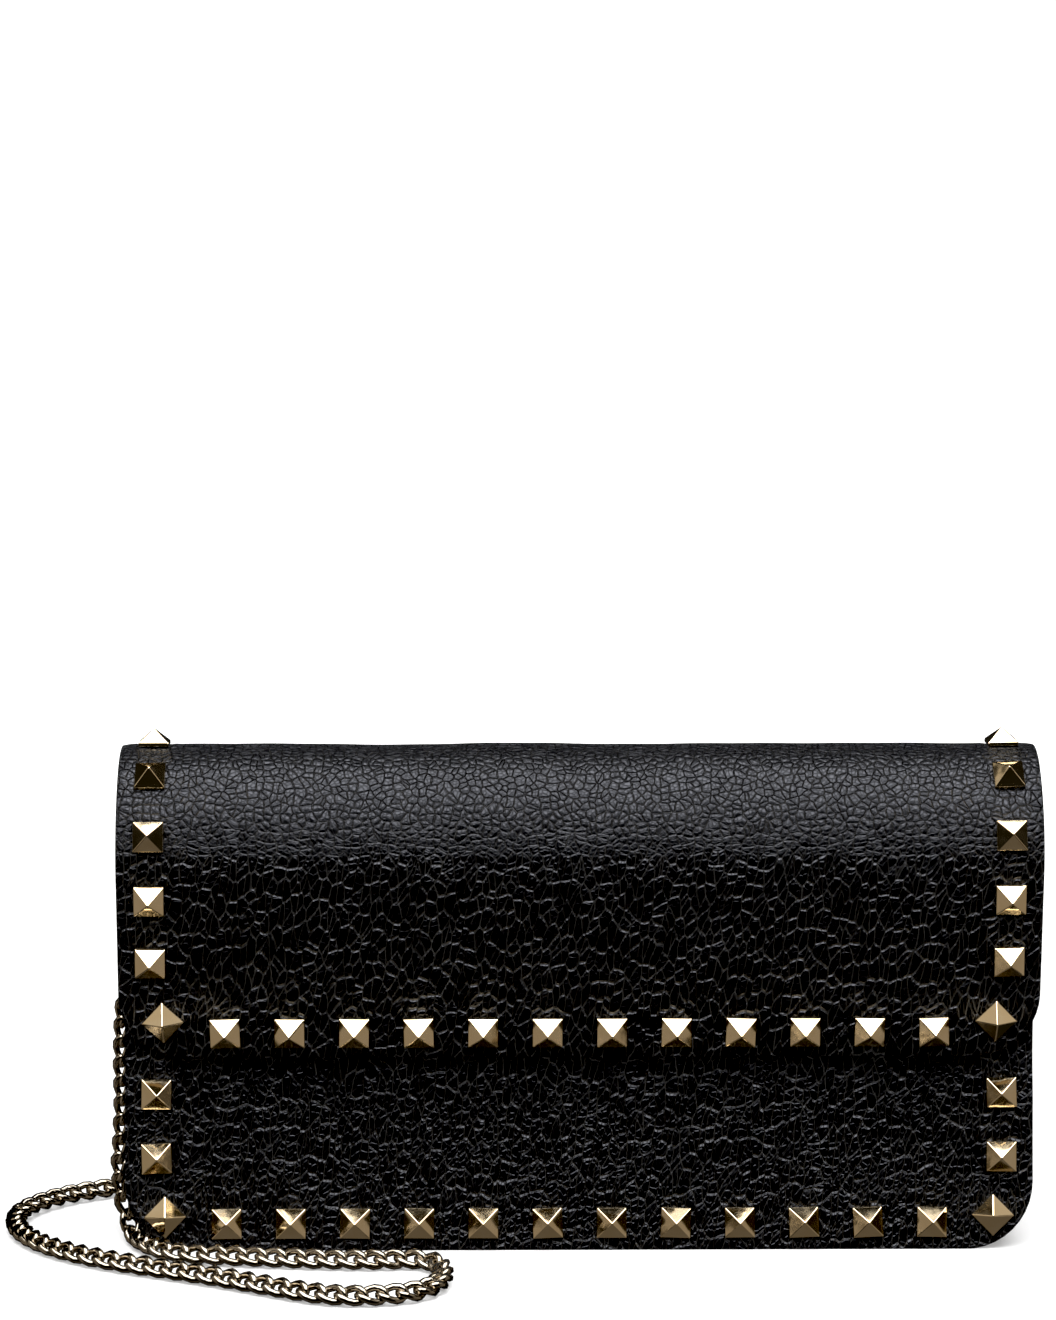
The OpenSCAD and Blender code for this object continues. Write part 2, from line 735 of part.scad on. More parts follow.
// Chain strap: its centreline from each clasp to the coil that holds the rest. The routes are set out
// for one size of wallet, and placed() stretches them to the sizes above
left_route = [[-95.6, 4.05, 66.8], [-96.4, 3.8, 62.5], [-98.4, 3, 57.5], [-99.9, 2, 52], [-100.3, 1.2, 46],
    [-100.4, 0.2, 38.7], [-100.3, -0.8, 30.4], [-100.6, -1.3, 22.8], [-101, -1.5, 15.6],
    [-100.4, -1.5, 10], [-99.3, -1.6, 6], [-98.3, -2.8, 3], [-97.4, -5.8, 1.7], [-95.8, -9.8, 1.6],
    [-93.2, -14.2, 1.6], [-89.8, -17.8, 1.6], [-85.4, -20.2, 1.6], [-80.4, -21.6, 1.6], [-74.9, -22.4, 1.6], [-68.9, -23.3, 1.6], [-63, -24.2, 1.6],
    [-57, -24.9, 1.6], [-51.1, -25.4, 1.6], [-45.2, -25.7, 1.6], [-39.8, -25.4, 1.6], [-35.2, -25.4, 1.6],
    [-31.6, -27.8, 1.6], [-29.8, -33, 1.6], [-29.8, -39.4, 1.6], [-31.8, -45.4, 1.6], [-36.2, -49.6, 1.6],
    [-42.3, -51.6, 1.6], [-48.7, -52, 1.6], [-54.6, -50.7, 1.6], [-60.4, -47.9, 1.6], [-66.2, -44.5, 1.6],
    [-72.2, -40.9, 1.6], [-78.3, -37.3, 1.6], [-84.3, -34.2, 1.6], [-90.3, -31.2, 1.6], [-96.4, -28.1, 1.6],
    [-102.6, -24.5, 1.6], [-108.8, -20.1, 1.6], [-114.5, -15, 1.6], [-119.4, -8.8, 1.6], [-123, -1.7, 1.6],
    [-124.9, 6, 1.6], [-124.6, 13.4, 1.6], [-122.2, 19.4, 1.6], [-118.8, 24.2, 1.6], [-114.6, 28.4, 1.6],
    [-109.6, 31.8, 1.6], [-104, 34.6, 1.6], [-97, 37, 1.6], [-88.5, 38.3, 1.6], [-79, 37.6, 1.6],
    [-69.5, 35, 1.6], [-60, 31.8, 1.6], [-51, 29.1, 1.6], [-43, 27.5, 1.6], [-36, 27, 1.6]];
right_route = [[-5, 27, 1.6], [4, 27.2, 1.6], [14, 27.4, 1.6], [26, 27.2, 1.6], [38, 26.4, 1.6],
    [50, 26, 1.6], [62, 26, 1.6], [74, 25.6, 1.6], [83, 24.6, 1.8], [90, 22.4, 3.4], [94, 20.2, 7.5],
    [95.6, 19.1, 14], [96.2, 18.8, 22], [96.6, 18.8, 31], [97.2, 18.8, 40], [98.6, 18.7, 47.5],
    [101, 17, 53], [101.5, 12.5, 57.6], [100.4, 8.2, 60.9], [98, 5.3, 62.6], [95.9, 4.1, 64.2],
    [95.6, 4.05, 66.8]];
coil_c = [-20, 55, 0];
route_half_w = 99.1;
route_front = -10;
route_floor = 1.6;
route_top = 66.8;
chain_top = hook_z + eye_z - eye_r - eye_wire_r - eye_gap;
function in_front(y) = max(0, min(1, (4 - y) / 17));
function placed(route) = [for (p = route) [p[0] * panel_w / 2 / route_half_w,
    p[1] + in_front(p[1]) * (front_y(0) - route_front),
    chain_t / 2 + (p[2] - route_floor) * (chain_top - chain_t / 2) / (route_top - route_floor)]];
chain_sides = 8;
function unit(v) = v / norm(v);
function heading(p, i) = unit(p[min(i + 1, len(p) - 1)] - p[max(i - 1, 0)]);
function crosswise(d) = unit(abs(d[2]) > 0.9 ? cross(d, [0, 1, 0]) : cross(d, [0, 0, 1]));
// One frame per ring, each turned as little as it can be from the one before
function carry(p, i = 0, side = [0, 0, 0]) = i == len(p) ? []
    : let (d = heading(p, i), s = i == 0 ? crosswise(d) : unit(side - (side * d) * d))
    concat([[s, cross(d, s)]], carry(p, i + 1, s));
module swept(p, r, sides) {
    frames = carry(p);
    rings = [for (i = [0:len(p) - 1]) for (j = [0:sides - 1])
        let (a = 360 * (j + 0.5) / sides)
        p[i] + r * (cos(a) * frames[i][0] + sin(a) * frames[i][1])];
    skin = [for (i = [0:len(p) - 2]) for (j = [0:sides - 1])
        let (a = i * sides + j, b = i * sides + (j + 1) % sides)
        [a, b, b + sides, a + sides]];
    caps = [[for (j = [sides - 1:-1:0]) j], [for (j = [0:sides - 1]) (len(p) - 1) * sides + j]];
    polyhedron(rings, concat(skin, caps), convexity = 10);
}
module chain_left_run() {
    color("#cdb98a") swept(placed(left_route), chain_t / 2, chain_sides);
}
module chain_right_run() {
    color("#cdb98a") swept(placed(right_route), chain_t / 2, chain_sides);
}
module chain_coil() {
    color("#cdb98a") translate(coil_c) rotate_extrude($fn = 96)
        translate([coil_r - chain_w, 0]) square([2 * chain_w, coil_layers * chain_t]);
}

back_panel();
back_lining();
front_panel();
front_lining();
gusset_left();
gusset_right();
bottom_strip();
card_slot_high();
card_slot_middle();
card_slot_low();
coin_wall_front();
coin_wall_back();
zip_tape_front();
zip_tape_back();
zip_teeth();
zip_stops();
zip_slider();
zip_pull();
ring_tab_left();
ring_tab_right();
d_ring_left();
d_ring_right();
clasp_hook_left();
clasp_gate_left();
clasp_eye_left();
clasp_hook_right();
clasp_gate_right();
clasp_eye_right();
snap_socket();
snap_socket_washer();
snap_nub();
snap_nub_washer();
flap_leather();
flap_lining();
flap_studs_left();
flap_studs_right();
flap_studs_row();
flap_studs_corner();
front_studs_left();
front_studs_right();
front_studs_row();
front_studs_corner();
chain_left_run();
chain_coil();
chain_right_run();
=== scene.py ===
import json
from math import cos, pi, radians, sin

import bpy
import numpy as np
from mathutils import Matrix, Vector


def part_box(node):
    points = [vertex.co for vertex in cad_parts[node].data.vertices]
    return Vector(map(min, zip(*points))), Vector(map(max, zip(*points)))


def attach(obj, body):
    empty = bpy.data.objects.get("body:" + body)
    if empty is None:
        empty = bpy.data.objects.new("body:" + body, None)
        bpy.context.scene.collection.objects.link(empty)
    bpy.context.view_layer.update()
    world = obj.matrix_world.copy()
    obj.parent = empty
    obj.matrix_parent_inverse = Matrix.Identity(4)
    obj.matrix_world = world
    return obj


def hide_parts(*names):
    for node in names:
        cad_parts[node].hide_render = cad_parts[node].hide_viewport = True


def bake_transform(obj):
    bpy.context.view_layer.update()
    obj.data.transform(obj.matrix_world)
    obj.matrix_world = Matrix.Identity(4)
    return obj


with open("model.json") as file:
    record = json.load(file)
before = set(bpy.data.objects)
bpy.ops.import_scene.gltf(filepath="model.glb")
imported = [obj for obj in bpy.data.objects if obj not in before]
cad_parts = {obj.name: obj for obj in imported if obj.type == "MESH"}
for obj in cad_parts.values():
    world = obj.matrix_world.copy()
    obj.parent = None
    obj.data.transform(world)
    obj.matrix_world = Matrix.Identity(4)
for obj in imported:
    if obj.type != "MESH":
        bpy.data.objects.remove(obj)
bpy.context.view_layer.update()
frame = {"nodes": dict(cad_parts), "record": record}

mm = 0.001

# Camera: a long lens in front of the wallet and a little above it, aimed over its top edge.
camera_distance = 0.85
camera_azimuth = radians(-1.4)
camera_elevation = radians(12.5)
look_right = radians(0.63)
look_down = radians(7.38)
lens = 105.2
wallet_middle = Vector((0, 0, 52 * mm))

camera_data = bpy.data.cameras.new("camera")
camera_data.lens = lens
camera = bpy.data.objects.new("camera", camera_data)
camera.location = wallet_middle + camera_distance * Vector((
    sin(camera_azimuth) * cos(camera_elevation),
    -cos(camera_azimuth) * cos(camera_elevation),
    sin(camera_elevation)))
camera.rotation_euler = (pi / 2 - look_down, 0, -look_right)
bpy.context.scene.collection.objects.link(camera)
bpy.context.scene.camera = camera
bpy.context.scene.view_settings.view_transform = "Standard"


# Chain strap: a curb chain of oval wire links, each twisted a quarter turn so that the next one
# lies flat in it, polished and plated pale gold. It hooks to both D-rings, and the length that
# isn't in the loop in front is wound into a small coil behind the wallet.
class Shade:
    """A value in a material. Arithmetic on it adds Math nodes; node() adds any other node."""

    def __init__(self, tree, socket=None):
        self.tree = tree
        self.socket = socket

    def node(self, kind, settings=None, inputs=None, out=0):
        made = self.tree.nodes.new("ShaderNode" + kind)
        for name, value in (settings or {}).items():
            setattr(made, name, value)
        for name, value in (inputs or {}).items():
            if isinstance(value, Shade):
                self.tree.links.new(value.socket, made.inputs[name])
            else:
                made.inputs[name].default_value = value
        return Shade(self.tree, made.outputs[out])

    def math(self, operation, *values):
        return self.node("Math", {"operation": operation}, dict(enumerate(values)))

    def __add__(self, other):
        return self.math("ADD", self, other)

    def __sub__(self, other):
        return self.math("SUBTRACT", self, other)

    def __rsub__(self, other):
        return self.math("SUBTRACT", other, self)

    def __mul__(self, other):
        return self.math("MULTIPLY", self, other)

    __radd__ = __add__
    __rmul__ = __mul__

    def step(self, low, high):
        """0 below low, 1 above high, and a smooth rise between."""
        return self.node("MapRange", {"interpolation_type": "SMOOTHSTEP"},
                         {"Value": self, "From Min": low, "From Max": high})

    def vector(self, operation, *values):
        return self.node("VectorMath", {"operation": operation}, dict(enumerate(values)))

    def colour(self, low, high):
        """The colour low where this value is 0, high where it is 1."""
        return self.node("Mix", {"data_type": "RGBA"},
                         {0: self, 6: (*low, 1), 7: (*high, 1)}, out=2)

    def noise(self, size, detail=2.0, rough=0.5):
        """Cloudy noise over this vector, about 0.5 in the middle, in lumps of that size in metres."""
        return self.node("TexNoise", {}, {"Vector": self, "Scale": 1 / size, "Detail": detail,
                                          "Roughness": rough})

    def bump(self, distance, strength=1.0):
        """A normal for a surface that rises by this value times distance."""
        return self.node("Bump", {}, {"Height": self, "Distance": distance, "Strength": strength})


def material(name, **sockets):
    """A new material with one Principled shader, and a Shade to start its patterns from."""
    made = bpy.data.materials.new(name)
    made.use_nodes = True
    shader = made.node_tree.nodes["Principled BSDF"]
    for socket, value in sockets.items():
        shader.inputs[socket.replace("_", " ")].default_value = value
    return made, shader, Shade(made.node_tree)


def feed(shader, **sockets):
    """Links Shades to the shader's sockets of those names."""
    for socket, value in sockets.items():
        value.tree.links.new(value.socket, shader.inputs[socket.replace("_", " ")])


def plated_metal(name, light, dark, smooth, wear_and_glint_patches):
    """Polished plating: clouds of handling marks and fine scratches in its roughness and bump."""
    made, shader, start = material(name, Metallic=1.0)
    place = start.node("TexCoord", out=3)
    clouds = place.noise(4 * mm, 2).step(0.35, 0.7)
    feed(shader, Base_Color=clouds.colour(dark, light), Roughness=smooth + (wear_and_glint_patches - smooth) * clouds,
         Normal=place.noise(3 * mm, 1).bump(0.05 * mm, 0.5))
    return made


def to_mesh(name, points, faces, smooth=True):
    """A new object in the scene, its points in their final places."""
    mesh = bpy.data.meshes.new(name)
    mesh.from_pydata(points.tolist(), [], [tuple(face) for face in faces])
    mesh.polygons.foreach_set("use_smooth", np.full(len(mesh.polygons), smooth))
    made = bpy.data.objects.new(name, mesh)
    bpy.context.scene.collection.objects.link(made)
    return made


def unit(v):
    return v / np.linalg.norm(v, axis=-1, keepdims=True)


def ease(x):
    """0 below 0, 1 above 1, and a smooth rise between."""
    x = np.clip(x, 0, 1)
    return x * x * (3 - 2 * x)


def smooth_path(points, spacing):
    """The curve through points whose pull at each is along the line between its neighbours
    (Catmull-Rom), walked at equal steps of about the given spacing."""
    p = np.vstack([2 * points[0] - points[1], points, 2 * points[-1] - points[-2]])
    fine_steps = 24
    t = np.linspace(0, 1, fine_steps, endpoint=False)[None, :, None]
    a, b, c, d = (p[i:len(p) - 3 + i, None, :] for i in range(4))
    dense = b + 0.5 * t * (c - a + t * (2 * a - 5 * b + 4 * c - d + t * (3 * (b - c) + d - a)))
    dense = np.vstack([dense.reshape(-1, 3), points[-1:]])
    walked = np.r_[0, np.cumsum(np.linalg.norm(np.diff(dense, axis=0), axis=1))]
    steps = np.linspace(0, walked[-1], max(2, round(walked[-1] / spacing)) + 1)
    return np.stack([np.interp(steps, walked, dense[:, k]) for k in range(3)], axis=1), walked[-1]


chain_width = 5 * mm
chain_thickness = 4.0 * mm
link_pitch = 4.3 * mm
wire = 1.6 * mm
link_overlap = 1.1 * wire
ground_share = 0.97
lifts_from = 3 * mm
lifts_over = 9 * mm
turns_from = 44 * mm
turns_over = 8 * mm
chain_left = mm * np.array([
    (-95.6, 4.05, 66.8), (-96.4, 3.8, 62.5), (-98.4, 3, 57.5), (-99.9, 2, 52), (-100.3, 1.2, 46),
    (-100.4, 0.2, 38.7), (-100.3, -0.8, 30.4), (-100.6, -1.3, 22.8), (-101, -1.5, 15.6),
    (-100.4, -1.5, 10), (-99.3, -1.6, 6), (-98.3, -2.8, 3), (-97.4, -5.8, 2.4), (-95.8, -9.8, 2.3),
    (-93.2, -14.2, 2.3), (-89.8, -17.8, 2.3), (-85.4, -20.2, 2.3), (-80.4, -21.6, 2.3),
    (-74.9, -22.4, 2.3), (-68.9, -23.3, 2.3),
    (-63, -24.2, 2.3), (-57, -24.9, 2.3), (-51.1, -25.4, 2.3), (-45.2, -25.7, 2.3), (-39.8, -25.4, 2.3),
    (-35.2, -25.4, 2.3), (-31.6, -27.8, 2.3), (-29.8, -33, 2.3), (-29.8, -39.4, 2.3), (-31.8, -45.4, 2.3),
    (-36.2, -49.6, 2.3), (-42.3, -51.6, 2.3), (-48.7, -52, 2.3), (-54.6, -50.7, 2.3), (-60.4, -47.9, 2.3),
    (-66.2, -44.5, 2.3), (-72.2, -40.9, 2.3), (-78.3, -37.3, 2.3), (-84.3, -34.2, 2.3),
    (-90.3, -31.2, 2.3), (-96.4, -28.1, 2.3), (-102.6, -24.5, 2.3), (-108.8, -20.1, 2.3),
    (-114.5, -15, 2.3), (-119.4, -8.8, 2.3), (-123, -1.7, 2.3), (-124.9, 6, 2.3), (-124.6, 13.4, 2.3),
    (-122.2, 19.4, 2.3), (-118.8, 24.2, 2.3), (-114.6, 28.4, 2.3), (-109.6, 31.8, 2.3), (-104, 34.6, 2.3),
    (-97, 37, 2.3), (-88.5, 38.3, 2.3), (-79, 37.6, 2.3), (-69.5, 35, 2.3), (-60, 31.8, 2.3),
    (-51, 29.1, 2.3), (-43, 27.5, 2.3), (-36, 27, 2.3)])
chain_right = mm * np.array([
    (-12, 27, 5.4), (-5, 27, 4.6), (2, 27.1, 3.2), (9, 27.3, 2.5), (17, 27.4, 2.3), (26, 27.2, 2.3),
    (38, 26.4, 2.3), (50, 26, 2.3), (62, 26, 2.3), (74, 25.6, 2.3), (83, 24.6, 2.4), (90, 22.4, 3.6),
    (94, 20.2, 7.6), (95.6, 19.1, 14), (96.2, 18.8, 22), (96.6, 18.8, 31), (97.2, 18.8, 40),
    (98.6, 18.7, 47.5), (101, 17, 53), (101.5, 12.5, 57.6), (100.4, 8.2, 60.9), (98, 5.3, 62.6),
    (95.9, 4.1, 64.2), (95.6, 4.05, 66.8)])
coil_low, coil_high = (np.array(corner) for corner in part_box("chain_coil"))
coil_middle = (coil_low + coil_high) / 2
coil_outer = (coil_high[0] - coil_low[0] - chain_width) / 2
coil_inner = coil_outer - chain_width
turn_points = 24


def coil_turn(radii, heights):
    """One turn from the front of the coil, anticlockwise from above. Over its last sixth it moves
    from the first radius and height to the second."""
    part = np.arange(turn_points) / turn_points
    move = ease((part - 5 / 6) * 6)
    angle = 2 * pi * part - pi / 2
    radius = radii[0] + (radii[1] - radii[0]) * move
    height = heights[0] + (heights[1] - heights[0]) * move
    return np.stack([coil_middle[0] + radius * np.cos(angle),
                     coil_middle[1] + radius * np.sin(angle), height], axis=1)


lower, upper = 0.5 * chain_thickness, 1.5 * chain_thickness
coil = np.vstack([coil_turn((coil_outer, coil_inner), (lower, lower)),
                  coil_turn((coil_inner, coil_inner), (lower, upper)),
                  coil_turn((coil_inner, coil_outer), (upper, upper)),
                  coil_turn((coil_outer, coil_outer), (upper, upper))])
chain_path, chain_length = smooth_path(np.vstack([chain_left, coil, chain_right]), link_pitch)


def curb_links(path, half_length, half_width, radius, around=14, sides=6):
    """One link at each point of path. A link's centreline is an oval whose plane turns from -45
    degrees at one end to +45 at the other; its wire is round, ground flat on the two broad sides.
    The links lie on the floor on a leaning side, and turn that side outwards where they hang."""
    t = np.arange(around) * 2 * pi / around
    twist = pi / 4 * np.cos(t)
    line = np.stack([half_length * np.cos(t), half_width * np.sin(t) * np.cos(twist),
                     half_width * np.sin(t) * np.sin(twist)], axis=1)
    ahead = unit(np.roll(line, -1, axis=0) - np.roll(line, 1, axis=0))
    out = unit(line - ahead * np.sum(line * ahead, axis=1, keepdims=True))
    across = np.cross(ahead, out)
    a = (np.arange(sides) + 0.5)[None, :, None] * 2 * pi / sides
    skin = line[:, None] + radius * (np.cos(a) * out[:, None] + np.sin(a) * across[:, None])
    flat = 0.5 * chain_thickness * ground_share
    skin[..., 2] = np.clip(skin[..., 2], -flat, flat)
    skin = skin.reshape(-1, 3)
    along = unit(np.gradient(path, axis=0))
    rise = ease((path[:, 2:] - lifts_from) / lifts_over)
    turn = ease((path[:, 2:] - turns_from) / turns_over)
    left = path[:, :1] < 0
    hung = np.where(left, (-0.7, -0.7, 0.0), (0, 1, 0) * (1 - turn) + (1, 0, 0) * turn)
    lying = unit(np.array([0, -0.62, 0.78]))
    up = lying * (1 - rise) + hung * rise
    up = unit(up - along * np.sum(up * along, axis=1, keepdims=True))
    aside = np.cross(up, along)
    frames = np.stack([along, aside, up], axis=1)
    points = path[:, None] + np.einsum("pk,nkc->npc", skin, frames)
    i, j = np.meshgrid(np.arange(around), np.arange(sides), indexing="ij")
    quad = np.stack([i * sides + j, (i + 1) % around * sides + j,
                     (i + 1) % around * sides + (j + 1) % sides, i * sides + (j + 1) % sides], -1)
    faces = quad.reshape(1, -1, 4) + (np.arange(len(path)) * around * sides)[:, None, None]
    return points.reshape(-1, 3), faces.reshape(-1, 4)


pale_gold = plated_metal("pale_gold", (0.88, 0.73, 0.50), (0.84, 0.68, 0.44), 0.06, 0.12)
# Partly painted shade: the chain's plating is a greyer gold than the studs', and its colour is also darkened
# overall in place of the shade between the crowded links.
shaded_chain_plating = plated_metal("shaded_chain_plating", (0.46, 0.41, 0.34), (0.36, 0.31, 0.24), 0.07, 0.14)
chain = to_mesh("chain", *curb_links(chain_path, (link_pitch + link_overlap) / 2,
                                     (chain_width - wire) / 2, wire / 2))
chain.data.materials.append(shaded_chain_plating)
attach(chain, "root")
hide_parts("chain_left_run", "chain_coil", "chain_right_run")


# Flap and back: one cut of black pebbled calf runs up the back, over the top and down the front.
# Its edges are painted, and it is pressed down round every stud. A thinner lining is glued inside.
flap_low, flap_high = (np.array(corner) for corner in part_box("flap_leather"))
back_high = np.array(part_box("back_panel")[1])
front_low, front_high = (np.array(corner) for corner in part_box("front_panel"))
back_bend = 9 * mm
crest_bend = 17 * mm
shoulder_bend = 27 * mm
crest_normal = radians(97)
shoulder_normal = radians(45)
drop_normal = radians(-6.4)
crest_y = back_high[1] - back_bend * (1 + cos(crest_normal))
crest_z = flap_high[2] - crest_bend * (1 - sin(crest_normal))
leather_thick = 1.4 * mm
lining_thick = 1.0 * mm
lining_share = 0.999
leather_grid = 1.45 * mm
lining_grid = 2.6 * mm
stud_width = 6.6 * mm
panel_corner = 15 * mm
flap_corner = 14 * mm


def facing(elevation):
    """The direction, in depth and height, of a normal that many radians above the front horizon."""
    return np.stack([-np.cos(elevation), np.sin(elevation)], axis=-1)


back_centre = np.array([crest_y, crest_z]) - back_bend * facing(crest_normal)
crest_centre = np.array([crest_y, crest_z]) - crest_bend * facing(crest_normal)
shoulder_centre = crest_centre + (crest_bend - shoulder_bend) * facing(shoulder_normal)
crest_arc = (crest_normal - shoulder_normal) * crest_bend
shoulder_arc = (shoulder_normal - drop_normal) * shoulder_bend
back_arc = (pi - crest_normal) * back_bend
drop_top = shoulder_centre + shoulder_bend * facing(drop_normal)
drop = (drop_top[1] - flap_low[2]) / cos(drop_normal)
flap_end = crest_arc + shoulder_arc + drop
back_end = -back_arc - back_centre[1]


def over_the_top(s):
    """Depth, height and normal's elevation of the wallet's outer skin, s along it from the crest
    line: up the flat back, three arcs over the top, and a straight drop down the front."""
    s = np.asarray(s, float)
    elevation = np.select([s < -back_arc, s < 0, s < crest_arc, s < crest_arc + shoulder_arc],
                          [pi + 0 * s, crest_normal - s / back_bend, crest_normal - s / crest_bend,
                           shoulder_normal - (s - crest_arc) / shoulder_bend], drop_normal)
    n = facing(elevation)
    below_back = np.stack([back_high[1] + 0 * s, back_centre[1] + s + back_arc], axis=-1)
    down = np.array([-sin(drop_normal), -cos(drop_normal)])
    below_front = drop_top + (s - crest_arc - shoulder_arc)[..., None] * down
    place = np.select([(s < -back_arc)[..., None], (s < 0)[..., None], (s < crest_arc)[..., None],
                       (s < crest_arc + shoulder_arc)[..., None]],
                      [below_back, back_centre + back_bend * n, crest_centre + crest_bend * n,
                       shoulder_centre + shoulder_bend * n], below_front)
    return place[..., 0], place[..., 1], elevation


def rounded_rows(low, high, low_radius, high_radius, spacing):
    """Positions from low to high, close together where a round corner of that radius is."""
    corner_rows = 11
    curve = 1 - np.cos(np.linspace(0, pi / 2, corner_rows))
    rows = []
    if low_radius:
        rows.append(low + low_radius * curve[:-1])
    start, stop = low + low_radius, high - high_radius
    rows.append(np.linspace(start, stop, round((stop - start) / spacing) + 1))
    if high_radius:
        rows.append(high - high_radius * curve[-2::-1])
    return np.concatenate(rows)


def corner_inset(gap, radius):
    """How far a quarter-round corner pulls the side in, at that distance from the end."""
    left = np.clip(radius - gap, 0, radius)
    return radius - np.sqrt(np.maximum(radius * radius - left * left, 0))


def closed_sheet(name, outer, inner, flat, flip=False):
    """A sheet of leather or cloth as a closed shell: an outer and an inner grid and the rim between
    them. flat is each grid point's place on the sheet laid flat, in metres, kept as its UV map."""
    rows, columns = outer.shape[:2]
    index = np.arange(rows * columns).reshape(rows, columns)
    a, b, c, d = index[:-1, :-1], index[1:, :-1], index[1:, 1:], index[:-1, 1:]
    skin = np.stack([a, b, c, d], -1).reshape(-1, 4)
    loop = np.concatenate([index[0, :-1], index[:-1, -1], index[-1, :0:-1], index[:0:-1, 0]])
    after = np.roll(loop, -1)
    n = rows * columns
    rim = np.stack([loop, after, after + n, loop + n], -1)
    faces = np.concatenate([skin, skin[:, ::-1] + n, rim])
    if flip:
        faces = faces[:, ::-1]
    made = to_mesh(name, np.concatenate([outer.reshape(-1, 3), inner.reshape(-1, 3)]), faces)
    corners = np.empty(len(made.data.loops), np.int32)
    made.data.loops.foreach_get("vertex_index", corners)
    layer = made.data.uv_layers.new(name="surface")
    layer.data.foreach_set("uv", flat.reshape(-1, 2)[corners % n].ravel())
    rim_material = np.zeros(len(faces), np.int32)
    rim_material[2 * len(skin):] = 1
    made.data.polygons.foreach_set("material_index", rim_material)
    return made


def face_and_rim(sheet, face):
    """The finish of a sheet's two broad faces, then the edge paint on its rim."""
    sheet.data.materials.append(face)
    sheet.data.materials.append(edge_paint)


def soften_edges(piece, name, width, angle):
    """Rounds the edges that turn by more than that many degrees."""
    bevel = piece.modifiers.new(name, "BEVEL")
    bevel.width = width
    bevel.segments = 2
    bevel.limit_method = "ANGLE"
    bevel.angle_limit = radians(angle)


def pebbled_leather(name, cell, lift):
    """Pebbled calf: cells parted by narrow creases, with smaller cells and a fine grain on them.
    Below the shoulder of the flap the hide is stretched, so the cells get longer and slant, and
    there and on the back the creases are painted a lighter grey, patchy at random: a painted
    highlight that stands in for the glints off the crease walls."""
    stretched_from = 34 * mm
    stretch_slant, stretch_length = 0.16, 0.52
    cell_wander = 1.3 * cell
    made, shader, start = material(name, Specular_IOR_Level=0.6, Specular_Tint=(0.88, 0.90, 1.0, 1))
    flat = start.node("UVMap", {"uv_map": "surface"})
    parts = flat.node("SeparateXYZ", {}, {"Vector": flat})
    along = Shade(start.tree, parts.socket.node.outputs["Y"])
    stretched = along.math("MAXIMUM", along - stretched_from, 0.0)
    cells = start.node("CombineXYZ", {}, {"X": parts + stretch_slant * stretched,
                                          "Y": along - stretch_length * stretched})
    warp = start.node("TexNoise", {}, {"Vector": cells, "Scale": 0.35 / cell, "Detail": 1.0}, out=1)
    shift = start.vector("SCALE", start.vector("SUBTRACT", warp, (0.5, 0.5, 0.5)))
    shift.socket.node.inputs["Scale"].default_value = cell_wander
    moved = start.vector("ADD", cells, shift)

    def creases(scale):
        return start.node("TexVoronoi", {"feature": "DISTANCE_TO_EDGE", "voronoi_dimensions": "2D"},
                          {"Vector": moved, "Scale": scale / cell})

    large = creases(1.0)
    small = creases(2.2)
    fine = cells.noise(0.16 * cell, 3, 0.6)
    height = 1.2 * large.step(0.0, 0.13) + 0.4 * small.step(0.0, 0.15) + 1.2 * large + 0.03 * fine
    # Painted highlight: from here on, the creases on the lower flap and on the back are coloured light grey,
    # patchy at random, in place of the glints off the crease walls.
    painted_glint_zone = along.step(30 * mm, 42 * mm).math("MAXIMUM", (0 - along).step(14 * mm, 26 * mm))
    wear_and_glint_patches = cells.noise(2.6 * cell, 2, 0.6).step(0.38, 0.62)
    line = (1 - large.step(0.0, 0.06)) * (0.30 + 0.70 * wear_and_glint_patches) + 0.22 * (1 - small.step(0.01, 0.08))
    black, crease_glint_grey = (0.0007, 0.0007, 0.0009), (0.060, 0.058, 0.054)
    feed(shader, Base_Color=(painted_glint_zone * line).colour(black, crease_glint_grey),
         Roughness=0.21 + 0.05 * large.step(0.0, 0.15) + 0.06 * fine, Normal=height.bump(lift))
    return made


def painted_edge(name):
    """Layers of edge paint, rubbed smooth: nearly black, with faint waves along the edge."""
    made, shader, start = material(name, Base_Color=(0.012, 0.012, 0.013, 1))
    place = start.node("TexCoord", out=3)
    feed(shader, Roughness=0.18 + 0.2 * place.noise(2 * mm),
         Normal=place.noise(1.2 * mm).bump(0.05 * mm))
    return made


calf = pebbled_leather("pebbled_calf", 1.75 * mm, 0.22 * mm)
edge_paint = painted_edge("edge_paint")

pitch = 14 * mm
row_x = (np.arange(12) - 5.5) * pitch
row_in = 5.8 * mm
row_s = flap_end - row_in
side_in = 7.1 * mm
side_x = flap_high[0] - side_in
side_top_s = 1.7 * mm
corner_in = 2.5 * mm
corner_x = side_x - corner_in
corner_s = row_s - corner_in
flap_studs = ([(sign * side_x, side_top_s + k * pitch, 0) for sign in (-1, 1) for k in range(5)]
              + [(x, row_s, 0) for x in row_x] + [(sign * corner_x, corner_s, 45) for sign in (-1, 1)])


def pressed_round_studs(across, along, studs):
    """Rise of the leather round square studs: a soft ridge just outside each base, flat under it."""
    pressed, ridge = 0.12, 0.16
    ridge_width, dip_width = 1.3 * mm, 0.5 * mm
    rise = np.zeros_like(across)
    for x, s, turn in studs:
        c, d = cos(radians(turn)), sin(radians(turn))
        u, v = across - x, along - s
        gap = np.maximum(np.abs(c * u + d * v), np.abs(c * v - d * u)) - stud_width / 2
        outside = ridge * np.exp(-(gap / ridge_width) ** 2) - pressed * np.exp(-gap / dip_width)
        rise += np.where(gap < 0, -pressed, outside)
    return rise * mm


